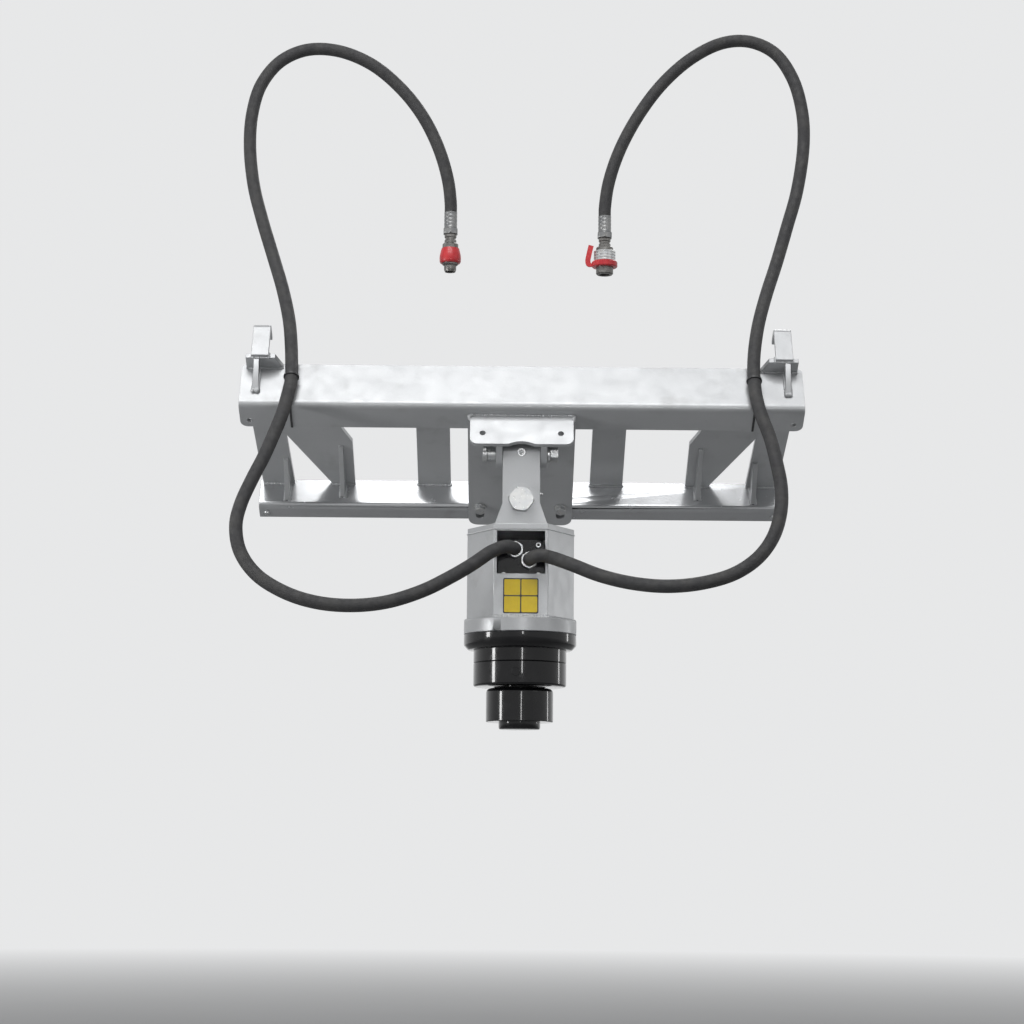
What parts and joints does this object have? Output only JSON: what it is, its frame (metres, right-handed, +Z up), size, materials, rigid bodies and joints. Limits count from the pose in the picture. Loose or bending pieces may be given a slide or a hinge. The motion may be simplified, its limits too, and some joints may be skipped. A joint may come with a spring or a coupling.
{
  "type": "earth auger drive",
  "caption": "Hydraulic earth auger drive: planetary gearbox and motor in a hexagonal housing, hung by a swinging link from a hook-on loader frame, with hydraulic hoses.",
  "frame": {"origin": "axis of the loader's round tube, midway between the two hooks", "axes": "+X along the frame to the right as seen from the front, +Y to the rear, +Z up; the drive hangs plumb and the frame is tipped forward by 60 degrees about X"},
  "size_m": [1.0893, 0.4379, 1.3642],
  "materials": {
    "frame_paint": "gloss silver grey paint",
    "zinc": "bright zinc plate",
    "gear_steel": "machined and oiled",
    "black_paint": "gloss black paint",
    "hose_rubber": "semi-matt black",
    "bronze": "machined",
    "red_rubber": "soft matt red",
    "tie_plastic": "matt black"
  },
  "bodies": {
    "hitch": {"top_beam": "frame_paint", "bottom_bar": "frame_paint", "left_side_plate": "frame_paint", "right_side_plate": "frame_paint", "left_post": "frame_paint", "right_post": "frame_paint", "left_hook_plate": "frame_paint", "right_hook_plate": "frame_paint", "left_hook_strap": "frame_paint", "right_hook_strap": "frame_paint", "back_plate": "frame_paint", "cover_plate": "frame_paint", "left_pin_lug": "frame_paint", "right_pin_lug": "frame_paint", "left_bracket_bolt": "zinc", "right_bracket_bolt": "zinc", "swing_pin": "zinc", "swing_pin_nut": "zinc", "swing_pin_spacer": "zinc", "swing_pin_washer": "zinc", "left_hose_tie": "tie_plastic", "right_hose_tie": "tie_plastic", "left_upper_hose": "hose_rubber", "right_upper_hose": "hose_rubber", "left_lower_hose": "hose_rubber", "right_lower_hose": "hose_rubber", "left_hose_fitting": "zinc", "right_hose_fitting": "zinc", "left_coupler": "gear_steel", "right_coupler": "gear_steel", "left_dust_ring": "red_rubber", "right_dust_ring": "red_rubber"},
    "link": {"swing_link": "frame_paint", "pin_bush": "bronze", "sway_bush": "bronze"},
    "drive": {"drive_housing": "frame_paint", "housing_top_plate": "frame_paint", "front_ear": "frame_paint", "rear_ear": "frame_paint", "sway_bolt": "black_paint", "sway_nut": "black_paint", "motor_body": "black_paint", "motor_cover": "black_paint", "left_port_nut": "zinc", "right_port_nut": "zinc", "left_port_elbow": "black_paint", "right_port_elbow": "black_paint", "ring_flange": "frame_paint", "ring_gear_case": "black_paint", "ring_gear": "gear_steel", "output_case": "black_paint", "output_bearing": "gear_steel", "shaft_seal": "hose_rubber"},
    "output": {"output_shaft": "black_paint", "planet_carrier": "gear_steel"},
    "sun": {"sun_gear": "gear_steel"},
    "planet_1": {"planet_gear_1": "gear_steel"},
    "planet_2": {"planet_gear_2": "gear_steel"},
    "planet_3": {"planet_gear_3": "gear_steel"},
    "sleeve": {"coupler_sleeve": "zinc"}
  },
  "joints": [
    {"name": "swing", "type": "hinge", "parent": "hitch", "child": "link", "pos_m": [0, -0.02775, -0.19506], "axis": [1, 0, 0], "range_deg": [-40, 35], "deforming": ["left_lower_hose", "right_lower_hose"]},
    {"name": "sway", "type": "hinge", "parent": "link", "child": "drive", "pos_m": [0, -0.02775, -0.28406], "axis": [0, 1, 0], "range_deg": [-25, 25], "deforming": ["left_lower_hose", "right_lower_hose"]},
    {"name": "output_spin", "type": "hinge", "parent": "drive", "child": "output", "pos_m": [0, -0.02775, -0.61506], "axis": [0, 0, 1], "continuous": true},
    {"name": "sun_spin", "type": "hinge", "parent": "drive", "child": "sun", "pos_m": [0, -0.02775, -0.54506], "axis": [0, 0, 1], "continuous": true},
    {"name": "planet_1_spin", "type": "hinge", "parent": "output", "child": "planet_1", "pos_m": [0, 0.0135, -0.54506], "axis": [0, 0, 1], "continuous": true},
    {"name": "planet_2_spin", "type": "hinge", "parent": "output", "child": "planet_2", "pos_m": [-0.03572, -0.04837, -0.54506], "axis": [0, 0, 1], "continuous": true},
    {"name": "planet_3_spin", "type": "hinge", "parent": "output", "child": "planet_3", "pos_m": [0.03572, -0.04837, -0.54506], "axis": [0, 0, 1], "continuous": true},
    {"name": "sleeve_slide", "type": "slide", "parent": "hitch", "child": "sleeve", "axis": [0, 0, 1], "range_m": [0, 0.006], "stiffness_N_per_m": 400, "springref_m": -0.004}
  ],
  "couplings": [
    {"joint": "sun_spin", "follows": "output_spin", "ratio": 5},
    {"joint": "planet_1_spin", "follows": "output_spin", "ratio": -2.6667},
    {"joint": "planet_2_spin", "follows": "output_spin", "ratio": -2.6667},
    {"joint": "planet_3_spin", "follows": "output_spin", "ratio": -2.6667}
  ]
}
